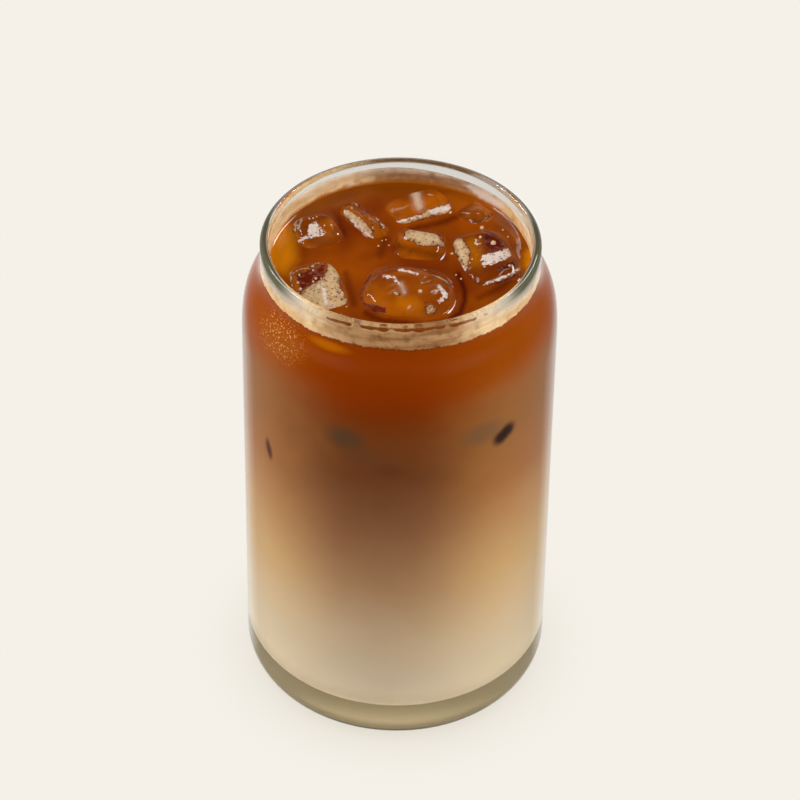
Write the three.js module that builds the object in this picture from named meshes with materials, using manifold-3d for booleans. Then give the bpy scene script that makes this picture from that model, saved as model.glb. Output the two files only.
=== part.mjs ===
// An iced flat white in its glass: a can-shaped tumbler, the three layers of the drink
// and the blocks of ice that break its surface.
// Millimetres, +Z up, -Y faces the viewer. The origin is the middle of the glass's foot, on the table.
import * as THREE from "three";
import { mergeVertices } from "three/addons/utils/BufferGeometryUtils.js";
import Module from "manifold-3d";

// The glass
const GLASS_HEIGHT = 133;
const BODY_RADIUS = 38.65;
const NECK_RADIUS = 34;
const WALL = 2.3;
const SHOULDER_TOP = 128; // the neck stands straight above this height
const SHOULDER_BOTTOM = 107; // the body is a plain cylinder below this height
const SHOULDER_PULL_TOP = 8.4; // how far the curve follows the neck before it swings out
const SHOULDER_PULL_BOTTOM = 16; // how far it follows the body
const FOOT_FLAT_RADIUS = 31.3;
const FOOT_CORNER_HEIGHT = 8.2;
const FLOOR_HEIGHT = 9.5; // thickness of the glass under the drink
const FLOOR_CORNER = 8.5; // the rounding inside, between floor and wall

// The drink
const DRINK_LEVEL = 126;
const COFFEE_BOTTOM = 109; // the dark, almost milk-free layer ends here
const MILKY_COFFEE_BOTTOM = 79; // the mixed layer ends here, over the milk
const GAP = 0.3; // clearance between pieces that touch

// The ice that shows at the surface. Each block is rounded in plan by its exponent corner and towards
// its top by crown: 2 is an ellipse, and a larger number is closer to a box. Angles are in degrees:
// turn about Z, tip about the block's own X and roll about its own Y.
const ICE = [
  { name: "ice_left", x: -20.3, y: 11.3, top: 128.3, half: [6.2, 6.3, 7.6],
    turn: 22, tip: 4, roll: -5, corner: 4.2, crown: 5.5 },
  { name: "ice_slab", x: -9.5, y: 15.4, top: 128.5, half: [3.2, 8.6, 7.8],
    turn: 38, tip: -3, roll: 5, corner: 3.6, crown: 5 },
  { name: "ice_back", x: 4, y: 22, top: 128.2, half: [8.3, 5.3, 7.6],
    turn: 24, tip: 6, roll: 2, corner: 4.6, crown: 5.5 },
  { name: "ice_corner", x: 18.1, y: 19.3, top: 127.9, half: [4.1, 4.1, 7],
    turn: 45, tip: -4, roll: 3, corner: 3.6, crown: 5 },
  { name: "ice_right", x: 21, y: 1.4, top: 128.4, half: [7, 10.8, 8],
    turn: 18, tip: 3, roll: -4, corner: 4.2, crown: 5.5 },
  { name: "ice_middle", x: 4.5, y: 6.4, top: 127.9, half: [6.8, 6.2, 7.6],
    turn: -8, tip: 5, roll: 3, corner: 4, crown: 5.5 },
  { name: "ice_front", x: 2.2, y: -12.2, top: 128.5, half: [12.4, 10.7, 8],
    turn: -9, tip: -3, roll: 3, corner: 2.8, crown: 3.6 },
  { name: "ice_front_left", x: -19.2, y: -10.6, top: 128.3, half: [6.6, 9.4, 7.8],
    turn: 20, tip: -4, roll: -6, corner: 4, crown: 5.5 },
];
const MELT = 0.025; // how much a block's faces swell and sink, as a share of its size

// How finely the round shapes are divided
const TURN_STEPS = 44;
const SHOULDER_STEPS = 7;
const LIP_STEPS = 6;
const CORNER_STEPS = 5;
const ICE_STEPS = 5; // faces along each edge of a block

const glassMaterial = new THREE.MeshStandardMaterial({
  color: 0xdfe8e0,
  roughness: 0.03,
  metalness: 0,
  transparent: true,
  opacity: 0.35,
});
const iceMaterial = new THREE.MeshStandardMaterial({
  color: 0xe9e2d8,
  roughness: 0.08,
  metalness: 0,
  transparent: true,
  opacity: 0.6,
});
const coffeeMaterial = new THREE.MeshStandardMaterial({ color: 0x7d3403, roughness: 0.12, metalness: 0 });
const milkyCoffeeMaterial = new THREE.MeshStandardMaterial({ color: 0x8a5428, roughness: 0.2, metalness: 0 });
const milkMaterial = new THREE.MeshStandardMaterial({ color: 0xcbb38f, roughness: 0.25, metalness: 0 });

const wasm = await Module();
wasm.setup();

const degrees = THREE.MathUtils.degToRad;
const point = (radius, height) => new THREE.Vector2(radius, height);

// The shoulder as a cubic curve from the body up to the neck, moved in by the wall for the inside.
function shoulder(inset) {
  return new THREE.CubicBezierCurve(
    point(BODY_RADIUS - inset, SHOULDER_BOTTOM),
    point(BODY_RADIUS - inset, SHOULDER_BOTTOM + SHOULDER_PULL_BOTTOM),
    point(NECK_RADIUS - inset, SHOULDER_TOP - SHOULDER_PULL_TOP),
    point(NECK_RADIUS - inset, SHOULDER_TOP),
  );
}

// A quarter ellipse from a flat, out and up to an upright wall.
function quarterCorner(flatRadius, wallRadius, low, high) {
  const points = [];
  for (let i = 0; i <= CORNER_STEPS; i++) {
    const angle = ((Math.PI / 2) * i) / CORNER_STEPS;
    points.push(
      point(
        flatRadius + (wallRadius - flatRadius) * Math.sin(angle),
        low + (high - low) * (1 - Math.cos(angle)),
      ),
    );
  }
  return points;
}

// The inside of the glass from the middle of its floor up to the neck, drawn in by a clearance.
function insideProfile(clearance) {
  const wall = BODY_RADIUS - WALL - clearance;
  const floor = FLOOR_HEIGHT + clearance;
  return [
    point(0, floor),
    ...quarterCorner(wall - FLOOR_CORNER, wall, floor, floor + FLOOR_CORNER),
    ...shoulder(WALL + clearance).getPoints(SHOULDER_STEPS),
  ];
}

// The part of the inside profile between two heights, closed to the axis at both ends.
function layerProfile(low, high) {
  const wall = insideProfile(GAP).slice(1);
  const radiusAt = (height) => {
    const above = wall.findIndex((p) => p.y >= height);
    if (above === 0) return wall[0].x;
    const [a, b] = [wall[above - 1], wall[above]];
    return a.x + ((b.x - a.x) * (height - a.y)) / (b.y - a.y);
  };
  const between = wall.filter((p) => p.y > low && p.y < high);
  return [point(0, low), point(radiusAt(low), low), ...between, point(radiusAt(high), high), point(0, high)];
}

// A profile of radius against height, turned about the upright axis.
function turned(profile) {
  return new THREE.LatheGeometry(profile, TURN_STEPS).rotateX(Math.PI / 2);
}

// A block of ice: every point of a cube's surface is pulled to the rounded shell
// (|x|^corner + |y|^corner)^(crown/corner) + |z|^crown = 1, which is then stretched to the block's size.
// The faces swell and sink a little, as melting ice does. grow makes the hollow that the block lies in.
function iceBlock({ x, y, top, half, turn, tip, roll, corner, crown }, grow) {
  const geometry = new THREE.BoxGeometry(2, 2, 2, ICE_STEPS, ICE_STEPS, ICE_STEPS);
  const turnedBy = new THREE.Matrix4().makeRotationFromEuler(
    new THREE.Euler(degrees(tip), degrees(roll), degrees(turn), "ZYX"),
  );
  const places = geometry.getAttribute("position");
  const p = new THREE.Vector3();
  for (let i = 0; i < places.count; i++) {
    p.fromBufferAttribute(places, i);
    const plan = Math.pow(Math.abs(p.x) ** corner + Math.abs(p.y) ** corner, crown / corner);
    const shell = Math.pow(plan + Math.abs(p.z) ** crown, -1 / crown);
    const melt = 1 - MELT * Math.sin(2.3 * p.x + x) * Math.cos(2.7 * p.y + y);
    p.multiplyScalar(shell * melt);
    places.setXYZ(i, p.x * (half[0] + grow), p.y * (half[1] + grow), p.z * (half[2] + grow));
  }
  geometry.applyMatrix4(turnedBy);
  geometry.computeBoundingBox();
  return geometry.translate(x, y, top + grow - geometry.boundingBox.max.z);
}

// A closed geometry as a solid that can be cut.
function solidOf(geometry) {
  const bare = geometry.clone();
  bare.deleteAttribute("normal");
  bare.deleteAttribute("uv");
  const merged = mergeVertices(bare, 1e-3);
  const corners = merged.index.array;
  const kept = [];
  for (let i = 0; i < corners.length; i += 3) {
    const [a, b, c] = [corners[i], corners[i + 1], corners[i + 2]];
    if (a !== b && b !== c && c !== a) kept.push(a, b, c);
  }
  return new wasm.Manifold(
    new wasm.Mesh({
      numProp: 3,
      vertProperties: new Float32Array(merged.attributes.position.array),
      triVerts: new Uint32Array(kept),
    }),
  );
}

// The solid back as a geometry, flat shaded.
function geometryOf(solid) {
  const mesh = solid.getMesh();
  const geometry = new THREE.BufferGeometry();
  geometry.setAttribute("position", new THREE.BufferAttribute(new Float32Array(mesh.vertProperties), 3));
  geometry.setIndex(new THREE.BufferAttribute(new Uint32Array(mesh.triVerts), 1));
  geometry.computeVertexNormals();
  return geometry;
}

function named(name, geometry, material) {
  const mesh = new THREE.Mesh(geometry, material);
  mesh.name = name;
  return mesh;
}

// The tumbler: flat foot, thick base, straight body, shoulder, short neck and a lip rounded over the wall.
function makeGlass() {
  const lipRadius = WALL / 2;
  const lip = [];
  for (let i = 0; i <= LIP_STEPS; i++) {
    const angle = (Math.PI * i) / LIP_STEPS;
    lip.push(
      point(
        NECK_RADIUS - lipRadius + lipRadius * Math.cos(angle),
        GLASS_HEIGHT - lipRadius + lipRadius * Math.sin(angle),
      ),
    );
  }
  const outside = [
    point(0, 0),
    ...quarterCorner(FOOT_FLAT_RADIUS, BODY_RADIUS, 0, FOOT_CORNER_HEIGHT),
    ...shoulder(0).getPoints(SHOULDER_STEPS),
  ];
  return named("glass", turned([...outside, ...lip, ...insideProfile(0).reverse()]), glassMaterial);
}

function makeMilk() {
  const profile = layerProfile(FLOOR_HEIGHT + GAP, MILKY_COFFEE_BOTTOM - GAP);
  return named("milk", turned(profile), milkMaterial);
}

function makeMilkyCoffee() {
  const profile = layerProfile(MILKY_COFFEE_BOTTOM, COFFEE_BOTTOM - GAP);
  return named("milky_coffee", turned(profile), milkyCoffeeMaterial);
}

// The dark top layer, cut round the ice that floats in it.
function makeCoffee() {
  let coffee = solidOf(turned(layerProfile(COFFEE_BOTTOM, DRINK_LEVEL)));
  for (const block of ICE) coffee = coffee.subtract(solidOf(iceBlock(block, GAP)));
  return named("coffee", geometryOf(coffee), coffeeMaterial);
}

function makeIce() {
  return ICE.map((block) => named(block.name, iceBlock(block, 0), iceMaterial));
}

const drink = new THREE.Group();
drink.add(makeMilk(), makeMilkyCoffee(), makeCoffee(), ...makeIce());

const icedFlatWhite = new THREE.Group();
icedFlatWhite.add(makeGlass(), drink);

export default icedFlatWhite;
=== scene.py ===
# %% [markdown]
# # An iced flat white in a can-shaped tumbler
#
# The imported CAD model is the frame. It says where the glass, the three layers of the drink and the
# eight blocks of ice are. This script gives them their looks: clear glass, a drink that runs from dark
# coffee to cream-coloured milk, wet ice, froth and bubbles. Everything is in metres, +Z is up and the
# viewer stands on the -Y side.

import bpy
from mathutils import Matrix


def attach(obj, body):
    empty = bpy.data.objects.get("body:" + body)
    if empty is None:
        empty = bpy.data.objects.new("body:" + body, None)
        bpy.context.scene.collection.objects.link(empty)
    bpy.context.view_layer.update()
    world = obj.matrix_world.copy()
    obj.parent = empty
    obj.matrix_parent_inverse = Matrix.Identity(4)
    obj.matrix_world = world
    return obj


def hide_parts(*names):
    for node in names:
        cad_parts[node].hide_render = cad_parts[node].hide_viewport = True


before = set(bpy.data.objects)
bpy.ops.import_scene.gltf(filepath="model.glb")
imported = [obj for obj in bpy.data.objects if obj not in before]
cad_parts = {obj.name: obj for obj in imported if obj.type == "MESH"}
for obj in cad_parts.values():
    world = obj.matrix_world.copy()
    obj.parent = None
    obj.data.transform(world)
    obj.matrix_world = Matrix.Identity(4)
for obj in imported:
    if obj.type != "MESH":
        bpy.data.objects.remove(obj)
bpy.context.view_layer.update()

# %% [markdown]
# ## Sizes
#
# A piece that takes a CAD node's place has to lie where the node lies. The sizes below are the ones
# that the CAD source is driven by, in metres, so each curve can be drawn again here, only finer.

# %% Sizes of the glass, the drink and the ice
import math

import bpy
import numpy as np
from mathutils import Matrix

MM = 0.001
GLASS_HEIGHT = 133 * MM
BODY_RADIUS = 38.65 * MM
NECK_RADIUS = 34 * MM
WALL = 2.3 * MM
SHOULDER_TOP = 128 * MM
SHOULDER_BOTTOM = 107 * MM
SHOULDER_PULL_TOP = 8.4 * MM
SHOULDER_PULL_BOTTOM = 16 * MM
FOOT_FLAT_RADIUS = 31.3 * MM
FOOT_CORNER_HEIGHT = 8.2 * MM
FLOOR_HEIGHT = 9.5 * MM
FLOOR_CORNER = 8.5 * MM
DRINK_LEVEL = 126 * MM
MELT = 0.025

# name: x, y, top, half sizes (mm), turn, tip, roll (degrees), corner and crown exponents
ICE_BLOCKS = {
    "ice_left": (-20.3, 11.3, 128.3, (6.2, 6.3, 7.6), 22, 4, -5, 4.2, 5.5),
    "ice_slab": (-9.5, 15.4, 128.5, (3.2, 8.6, 7.8), 38, -3, 5, 3.6, 5),
    "ice_back": (4, 22, 128.2, (8.3, 5.3, 7.6), 24, 6, 2, 4.6, 5.5),
    "ice_corner": (18.1, 19.3, 127.9, (4.1, 4.1, 7), 45, -4, 3, 3.6, 5),
    "ice_right": (21, 1.4, 128.4, (7, 10.8, 8), 18, 3, -4, 4.2, 5.5),
    "ice_middle": (4.5, 6.4, 127.9, (6.8, 6.2, 7.6), -8, 5, 3, 4, 5.5),
    "ice_front": (2.2, -12.2, 128.5, (12.4, 10.7, 8), -9, -3, 3, 2.8, 3.6),
    "ice_front_left": (-19.2, -10.6, 128.3, (6.6, 9.4, 7.8), 20, -4, -6, 4, 5.5),
}
print("glass", GLASS_HEIGHT / MM, "mm tall,", len(ICE_BLOCKS), "blocks of ice")

# %% [markdown]
# ## The camera
#
# The camera comes first, because small marks such as a bubble or a frosted edge are placed by the
# pixel where they show. The camera looks down at the rim from about 40 degrees through a long lens and
# leans by less than a degree. to_pixels repeats its arithmetic, so any point can be looked up.

# %% Camera
ELEVATION = math.radians(40.06)
LEAN = math.radians(0.846)
DISTANCE = 902.8 * MM
FOCAL_PIXELS = 3615.9
PICTURE = 800
SENSOR = 36.0
LOOK_AT = np.array([0.373, 0.0, 82.43]) * MM

backwards = np.array([0.0, -math.cos(ELEVATION), math.sin(ELEVATION)])
level_right = np.array([1.0, 0.0, 0.0])
level_up = np.array([0.0, math.sin(ELEVATION), math.cos(ELEVATION)])
camera_right = math.cos(LEAN) * level_right + math.sin(LEAN) * level_up
camera_up = math.cos(LEAN) * level_up - math.sin(LEAN) * level_right
camera_place = LOOK_AT + DISTANCE * backwards

lens = bpy.data.cameras.new("camera")
lens.sensor_width = SENSOR
lens.lens = FOCAL_PIXELS / PICTURE * SENSOR
camera = bpy.data.objects.new("camera", lens)
bpy.context.scene.collection.objects.link(camera)
bpy.context.scene.camera = camera


def stand(thing, right, up, back, place):
    """Puts a camera or lamp at a place, with its own X, Y and Z axes along right, up and back."""
    columns = np.column_stack([right, up, back, place])
    thing.matrix_world = Matrix(np.vstack([columns, [0, 0, 0, 1]]).tolist())


stand(camera, camera_right, camera_up, backwards, camera_place)


def to_pixels(points):
    """Where points show: the offset from the camera along its right and up axes, over the depth."""
    offset = points - camera_place
    depth = -(offset @ backwards)
    across = PICTURE / 2 + FOCAL_PIXELS * (offset @ camera_right) / depth
    down = PICTURE / 2 - FOCAL_PIXELS * (offset @ camera_up) / depth
    return np.stack([across, down], axis=-1)


print("lens", round(lens.lens, 1), "mm; rim's middle at", to_pixels(np.array([0, 0, GLASS_HEIGHT])).round(1))

# %% [markdown]
# ## Surfaces from grids
#
# Most of this object is turned: the glass on a press mould, the drink by the glass it fills. Such a
# skin is a grid of rings. Each ring is a row of points at one place along a profile, and each column
# is one turn angle. The two helpers below turn such grids into closed meshes with faces outwards.

# %% Helpers that make a mesh
def make_piece(name, points, faces):
    """A smooth-shaded mesh object at the origin from an array of points and lists of corner numbers."""
    mesh = bpy.data.meshes.new(name)
    mesh.from_pydata(points.tolist(), [], faces)
    mesh.shade_smooth()
    piece = bpy.data.objects.new(name, mesh)
    bpy.context.scene.collection.objects.link(piece)
    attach(piece, "root")
    return piece


def ring_faces(rows, columns, rows_close=False):
    """Quads between neighbouring points of rings: (i, j), (i, j+1), (i+1, j+1), (i+1, j). Rings close."""
    i = np.arange(rows if rows_close else rows - 1)[:, None]
    j = np.arange(columns)[None, :]
    ahead = (j + 1) % columns
    above = (i + 1) % rows
    corners = [i * columns + j, i * columns + ahead, above * columns + ahead, above * columns + j]
    return np.stack(np.broadcast_arrays(*corners), axis=-1).reshape(-1, 4)


def ring_points(radius, height):
    """Point (i, j) lies at radius[i, j] from the axis and height[i, j], turned by j of all columns."""
    angle = np.arange(radius.shape[1]) * (2 * np.pi / radius.shape[1])
    return np.stack([radius * np.cos(angle), radius * np.sin(angle), height], axis=-1).reshape(-1, 3)


def closed_rings(rows, columns):
    """Quads of rings, and the triangles of the low and the high fan that shut their two ends. The fans
    meet in poles, the points numbered rows * columns and one more."""
    first = np.arange(columns)
    after = (first + 1) % columns
    last_ring = (rows - 1) * columns
    low_pole = np.full(columns, rows * columns)
    low_fan = np.stack([low_pole, after, first], axis=-1)
    high_fan = np.stack([last_ring + first, last_ring + after, low_pole + 1], axis=-1)
    return ring_faces(rows, columns), np.vstack([low_fan, high_fan])


def turned_skin(name, radius, height, low_pole, high_pole):
    """A closed skin of rings whose two ends are shut by fans to points on the axis."""
    ends = np.array([[0, 0, low_pole], [0, 0, high_pole]])
    quads, fans = closed_rings(*radius.shape)
    return make_piece(name, np.vstack([ring_points(radius, height), ends]), quads.tolist() + fans.tolist())


def smooth_step(value, start, end):
    """0 up to start, 1 from end on, and an S-shaped rise 3t^2 - 2t^3 between them."""
    t = np.clip((value - start) / (end - start), 0, 1)
    return t * t * (3 - 2 * t)


print("a band of 3 rings of 8 points has", len(ring_faces(3, 8)), "quads")

# %% [markdown]
# ## Profiles of the glass
#
# Inside and outside of the glass follow one family of curves: a quarter ellipse at the foot, a straight
# wall and a soft S at the shoulder. The inside is the same S moved in by the wall. Later the drink and
# the froth read the same curves, so they touch the glass wherever they should.

# %% Profiles of the glass
def shoulder_curve(inset, steps):
    """Cubic curve from the body up to the neck: four guide points (radius, height), weighted by
    (1 - t)^3, 3t(1 - t)^2, 3t^2(1 - t) and t^3. inset moves the whole curve in."""
    guides = np.array(
        [
            [BODY_RADIUS - inset, SHOULDER_BOTTOM],
            [BODY_RADIUS - inset, SHOULDER_BOTTOM + SHOULDER_PULL_BOTTOM],
            [NECK_RADIUS - inset, SHOULDER_TOP - SHOULDER_PULL_TOP],
            [NECK_RADIUS - inset, SHOULDER_TOP],
        ]
    )
    t = np.linspace(0, 1, steps + 1)[:, None]
    weights = np.hstack([(1 - t) ** 3, 3 * t * (1 - t) ** 2, 3 * t**2 * (1 - t), t**3])
    return weights @ guides


def corner_curve(flat_radius, wall_radius, low, high, steps):
    """Quarter ellipse: the radius grows with the sine of an angle, the height with 1 - its cosine."""
    angle = np.linspace(0, np.pi / 2, steps + 1)
    radius = flat_radius + (wall_radius - flat_radius) * np.sin(angle)
    return np.column_stack([radius, low + (high - low) * (1 - np.cos(angle))])


def inside_curve(reach, corner_steps, shoulder_steps):
    """The inside of the glass from its floor up to the neck, moved into the glass by reach."""
    wall = BODY_RADIUS - WALL + reach
    floor = FLOOR_HEIGHT - reach
    corner = corner_curve(wall - FLOOR_CORNER, wall, floor, floor + FLOOR_CORNER, corner_steps)
    return np.vstack([corner, shoulder_curve(WALL - reach, shoulder_steps)])


INSIDE_CORNER_STEPS = 24
INSIDE_SHOULDER_STEPS = 64
inside = inside_curve(0, INSIDE_CORNER_STEPS, INSIDE_SHOULDER_STEPS)


def inner_radius(height):
    """Radius of the glass's inner wall at a height, read off its profile."""
    return np.interp(height, inside[:, 1], inside[:, 0])


print("inner radius at the drink's level:", round(float(inner_radius(DRINK_LEVEL)) / MM, 2), "mm")

# %% [markdown]
# ## The tumbler
#
# A press-moulded soda-lime tumbler: a thick base that was the bottom of the gob of glass, a straight
# wall, and a neck drawn in so that it looks like a drinks can. The lip is fire-polished, so it is a
# plain half circle. One profile from the middle of the foot, round the outside, over the lip and down
# to the middle of the floor gives the whole solid; turning it is exact, where subdivision would
# pinch the lip.

# %% Glass mesh
GLASS_COLUMNS = 256
FOOT_STEPS = 24
SHOULDER_STEPS = 48
LIP_STEPS = 24
lip_radius = WALL / 2
lip_turn = np.linspace(0, np.pi, LIP_STEPS + 1)
lip_curve = np.column_stack(
    [
        NECK_RADIUS - lip_radius + lip_radius * np.cos(lip_turn),
        GLASS_HEIGHT - lip_radius + lip_radius * np.sin(lip_turn),
    ]
)
outside = np.vstack(
    [
        corner_curve(FOOT_FLAT_RADIUS, BODY_RADIUS, 0, FOOT_CORNER_HEIGHT, FOOT_STEPS),
        shoulder_curve(0, SHOULDER_STEPS),
    ]
)
glass_profile = np.vstack([outside, lip_curve, inside[::-1]])
glass_radius = np.repeat(glass_profile[:, :1], GLASS_COLUMNS, axis=1)
glass_height = np.repeat(glass_profile[:, 1:], GLASS_COLUMNS, axis=1)
tumbler = turned_skin("tumbler", glass_radius, glass_height, 0, FLOOR_HEIGHT)
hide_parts("glass")
print("tumbler:", len(tumbler.data.polygons), "faces")

# %% [markdown]
# ## Node helpers
#
# A material is a small network of nodes. The helpers keep each network short to read: some add a node
# and fill its inputs, some do sums and make noise, and some turn a number into a colour. The last ones
# keep numbers on a mesh and end a network with the shader that everything feeds.

# %% Helpers that add nodes
def fill(tree, socket, value):
    """Links a socket to the output of another node, or sets it to a plain value."""
    if isinstance(value, bpy.types.NodeSocket):
        tree.links.new(value, socket)
    else:
        socket.default_value = value


def add_node(tree, kind, inputs=None, **settings):
    """Adds a node, sets its properties, and fills its inputs by name or by number."""
    node = tree.nodes.new(kind)
    for key, value in settings.items():
        setattr(node, key, value)
    for key, value in (inputs or {}).items():
        fill(tree, node.inputs[key], value)
    return node


def new_material(name):
    """An empty node material with its output node."""
    material = bpy.data.materials.new(name)
    material.use_nodes = True
    material.node_tree.nodes.clear()
    return material, material.node_tree, add_node(material.node_tree, "ShaderNodeOutputMaterial")


def object_place(tree):
    """Where the shaded point is, in the piece's own coordinates, which are the frame's."""
    return add_node(tree, "ShaderNodeTexCoord").outputs["Object"]


def attribute(tree, name):
    """A number that was stored on the mesh's points."""
    return add_node(tree, "ShaderNodeAttribute", attribute_name=name).outputs["Fac"]


print("node helpers: fill, add_node, new_material, object_place, attribute")


# %% Helpers for sums and noise
def maths(tree, operation, a, b=0.0, c=0.0):
    """One sum of up to three numbers or sockets."""
    return add_node(tree, "ShaderNodeMath", {0: a, 1: b, 2: c}, operation=operation).outputs[0]


def vector_maths(tree, operation, a, b=(0.0, 0.0, 0.0)):
    """One sum of vectors. A length comes out as a number."""
    node = add_node(tree, "ShaderNodeVectorMath", {0: a, 1: b}, operation=operation)
    return node.outputs["Value" if operation == "LENGTH" else "Vector"]


def noise(tree, scale, detail=2.0, roughness=0.5, place=None):
    """Soft random values from 0 to 1 with features of about 1 / scale metres."""
    inputs = {"Vector": place or object_place(tree), "Scale": scale, "Detail": detail, "Roughness": roughness}
    return add_node(tree, "ShaderNodeTexNoise", inputs).outputs["Fac"]


def smooth_range(tree, value, low, high, to_low=0.0, to_high=1.0):
    """An S-shaped rise from to_low to to_high while value goes from low to high."""
    inputs = {"Value": value, "From Min": low, "From Max": high, "To Min": to_low, "To Max": to_high}
    return add_node(tree, "ShaderNodeMapRange", inputs, interpolation_type="SMOOTHSTEP").outputs["Result"]


print("sum helpers: maths, vector_maths, noise, smooth_range")

# %% Helpers for colours
MIX_FIRST, MIX_SECOND, MIX_RESULT = 6, 7, 2  # the Mix node's sockets for colours


def blend(tree, factor, first, second):
    """The first colour where factor is 0 and the second where it is 1."""
    node = add_node(tree, "ShaderNodeMix", {"Factor": factor}, data_type="RGBA")
    fill(tree, node.inputs[MIX_FIRST], first)
    fill(tree, node.inputs[MIX_SECOND], second)
    return node.outputs[MIX_RESULT]


def colour_ramp(tree, factor, stops):
    """A colour for each factor from 0 to 1, blended between stops of (position, colour)."""
    node = add_node(tree, "ShaderNodeValToRGB", {"Fac": factor})
    bands = node.color_ramp.elements
    bands[0].position, bands[0].color = stops[0]
    bands[1].position, bands[1].color = stops[-1]
    for position, colour in stops[1:-1]:
        bands.new(position).color = colour
    return node.outputs["Color"]


def paint(red, green, blue):
    """A colour given as a screen shows it, from 0 to 255, made linear."""
    screen = np.array([red, green, blue]) / 255
    linear = np.where(screen <= 0.04045, screen / 12.92, ((screen + 0.055) / 1.055) ** 2.4)
    return (*linear.tolist(), 1.0)


print("middle grey on a screen is", round(paint(128, 128, 128)[0], 3), "of white in linear light")


# %% Helpers that keep numbers on a mesh and end a network
def store(piece, name, values):
    """Keeps one number for each point of a piece, for its material to read."""
    field = piece.data.attributes.new(name, "FLOAT", "POINT")
    field.data.foreach_set("value", values.astype(np.float32))


def let_light_through(tree, shader, tint):
    """The shader for all that is seen, and clear for shadow rays, so that lamps reach what is inside
    without the slow and grainy search for focused light."""
    clear = add_node(tree, "ShaderNodeBsdfTransparent", {"Color": tint}).outputs[0]
    path = add_node(tree, "ShaderNodeLightPath")
    mixed = add_node(tree, "ShaderNodeMixShader", {0: path.outputs["Is Shadow Ray"], 1: shader, 2: clear})
    return mixed.outputs[0]


def end_network(tree, output, inputs, shadow_tint=None):
    """Ends a network with a Principled shader. A clear piece says what its shadow is tinted with."""
    shader = add_node(tree, "ShaderNodeBsdfPrincipled", inputs).outputs[0]
    if shadow_tint:
        shader = let_light_through(tree, shader, shadow_tint)
    tree.links.new(shader, output.inputs["Surface"])


print("last helpers: store, let_light_through, end_network")

# %% [markdown]
# ## Clear glass
#
# Soda-lime glass bends light by 1.5 and is all but colourless through a thin wall. Iron in it takes a
# little of every colour and most of the blue, so where light runs a long way inside it, as in the base,
# it turns a greyish olive. A volume that absorbs shows just that, and a tint on the surface wouldn't.
#
# The lip shows dark edges where it mirrors a dark room. Studio lamps alone leave it too pale, so a painted
# reflection of that room, a grey painted shade, lies on the outside of the lip at the sides, and only on its
# topmost line at the back. The shade is worked out from each point's height, radius and heading, and stored
# on the points.

# %% Painted shade on the lip
SHADE_HEIGHTS = (129.6 * MM, 131.0 * MM)
SHADE_RADII = (33.1 * MM, 33.6 * MM)  # in front and at the back, where only the outside is shaded
SIDES_REACH = (1.0 * MM, 1.1 * MM)  # how much farther in the shade reaches at the left and the right
LINE_HEIGHTS = (132.4 * MM, 132.6 * MM)
LINE_RADII = (32.7 * MM, 33.0 * MM)
LINE_STRENGTH = 0.85

to_front = -np.sin(np.arange(GLASS_COLUMNS) * (2 * np.pi / GLASS_COLUMNS))
to_side = smooth_step(1 - np.abs(to_front), 0.1, 0.7)
shade_start, shade_full = (radius - reach * to_side for radius, reach in zip(SHADE_RADII, SIDES_REACH))
# Painted shade: a grey that stands in for the dark room that the lip mirrors, strongest at the sides.
painted_lip_shade = smooth_step(glass_height, *SHADE_HEIGHTS) * smooth_step(glass_radius, shade_start, shade_full)
painted_lip_shade *= 1 - smooth_step(to_front, 0.5, 0.93)
top_line = smooth_step(glass_height, *LINE_HEIGHTS) * smooth_step(glass_radius, *LINE_RADII)
painted_lip_shade += (LINE_STRENGTH * top_line - painted_lip_shade) * smooth_step(-to_front, 0.15, 0.6)
AT_THE_POLES = [0, 0]
store(tumbler, "painted_lip_shade", np.append(painted_lip_shade.ravel(), AT_THE_POLES))
print("lip shaded on", int((painted_lip_shade > 0).sum()), "points")

# %% Glass material
GLASS_BENDS = 1.5
GLASS_TINT = (0.985, 0.995, 0.98, 1)
GLASS_SHADOW = (0.96, 0.97, 0.95, 1)
GLASS_LEAVES = (0.62, 0.61, 0.41, 1)  # the colour that is left of white
GLASS_DENSITY = 18.0
PAINTED_LIP_GREY = paint(80, 82, 62)
LIP_HIDES = 0.85  # how much of what lies behind it the shaded lip hides

clear_glass, tree, output = new_material("clear_glass")
shade = attribute(tree, "painted_lip_shade")
glass_inputs = {
    "Base Color": blend(tree, shade, GLASS_TINT, PAINTED_LIP_GREY),
    "Roughness": 0.0,
    "IOR": GLASS_BENDS,
    "Transmission Weight": maths(tree, "MULTIPLY_ADD", shade, -LIP_HIDES, 1.0),
}
end_network(tree, output, glass_inputs, GLASS_SHADOW)
absorbs = add_node(tree, "ShaderNodeVolumeAbsorption", {"Color": GLASS_LEAVES, "Density": GLASS_DENSITY})
tree.links.new(absorbs.outputs[0], output.inputs["Volume"])
tumbler.data.materials.append(clear_glass)
print("clear glass bends light by", GLASS_BENDS)

# %% [markdown]
# ## Blocks of ice
#
# The blocks came out of a tray as rough cubes and have melted for some minutes, so their corners and
# top edges are round. A cube's surface is pulled to a rounded shell, as in the CAD source, and then
# gets the small dents that only show up close. The grid on each of the six sides is welded to its
# neighbours, so every block is one closed skin.

# %% A cube of grids
ICE_STEPS = 70


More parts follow.
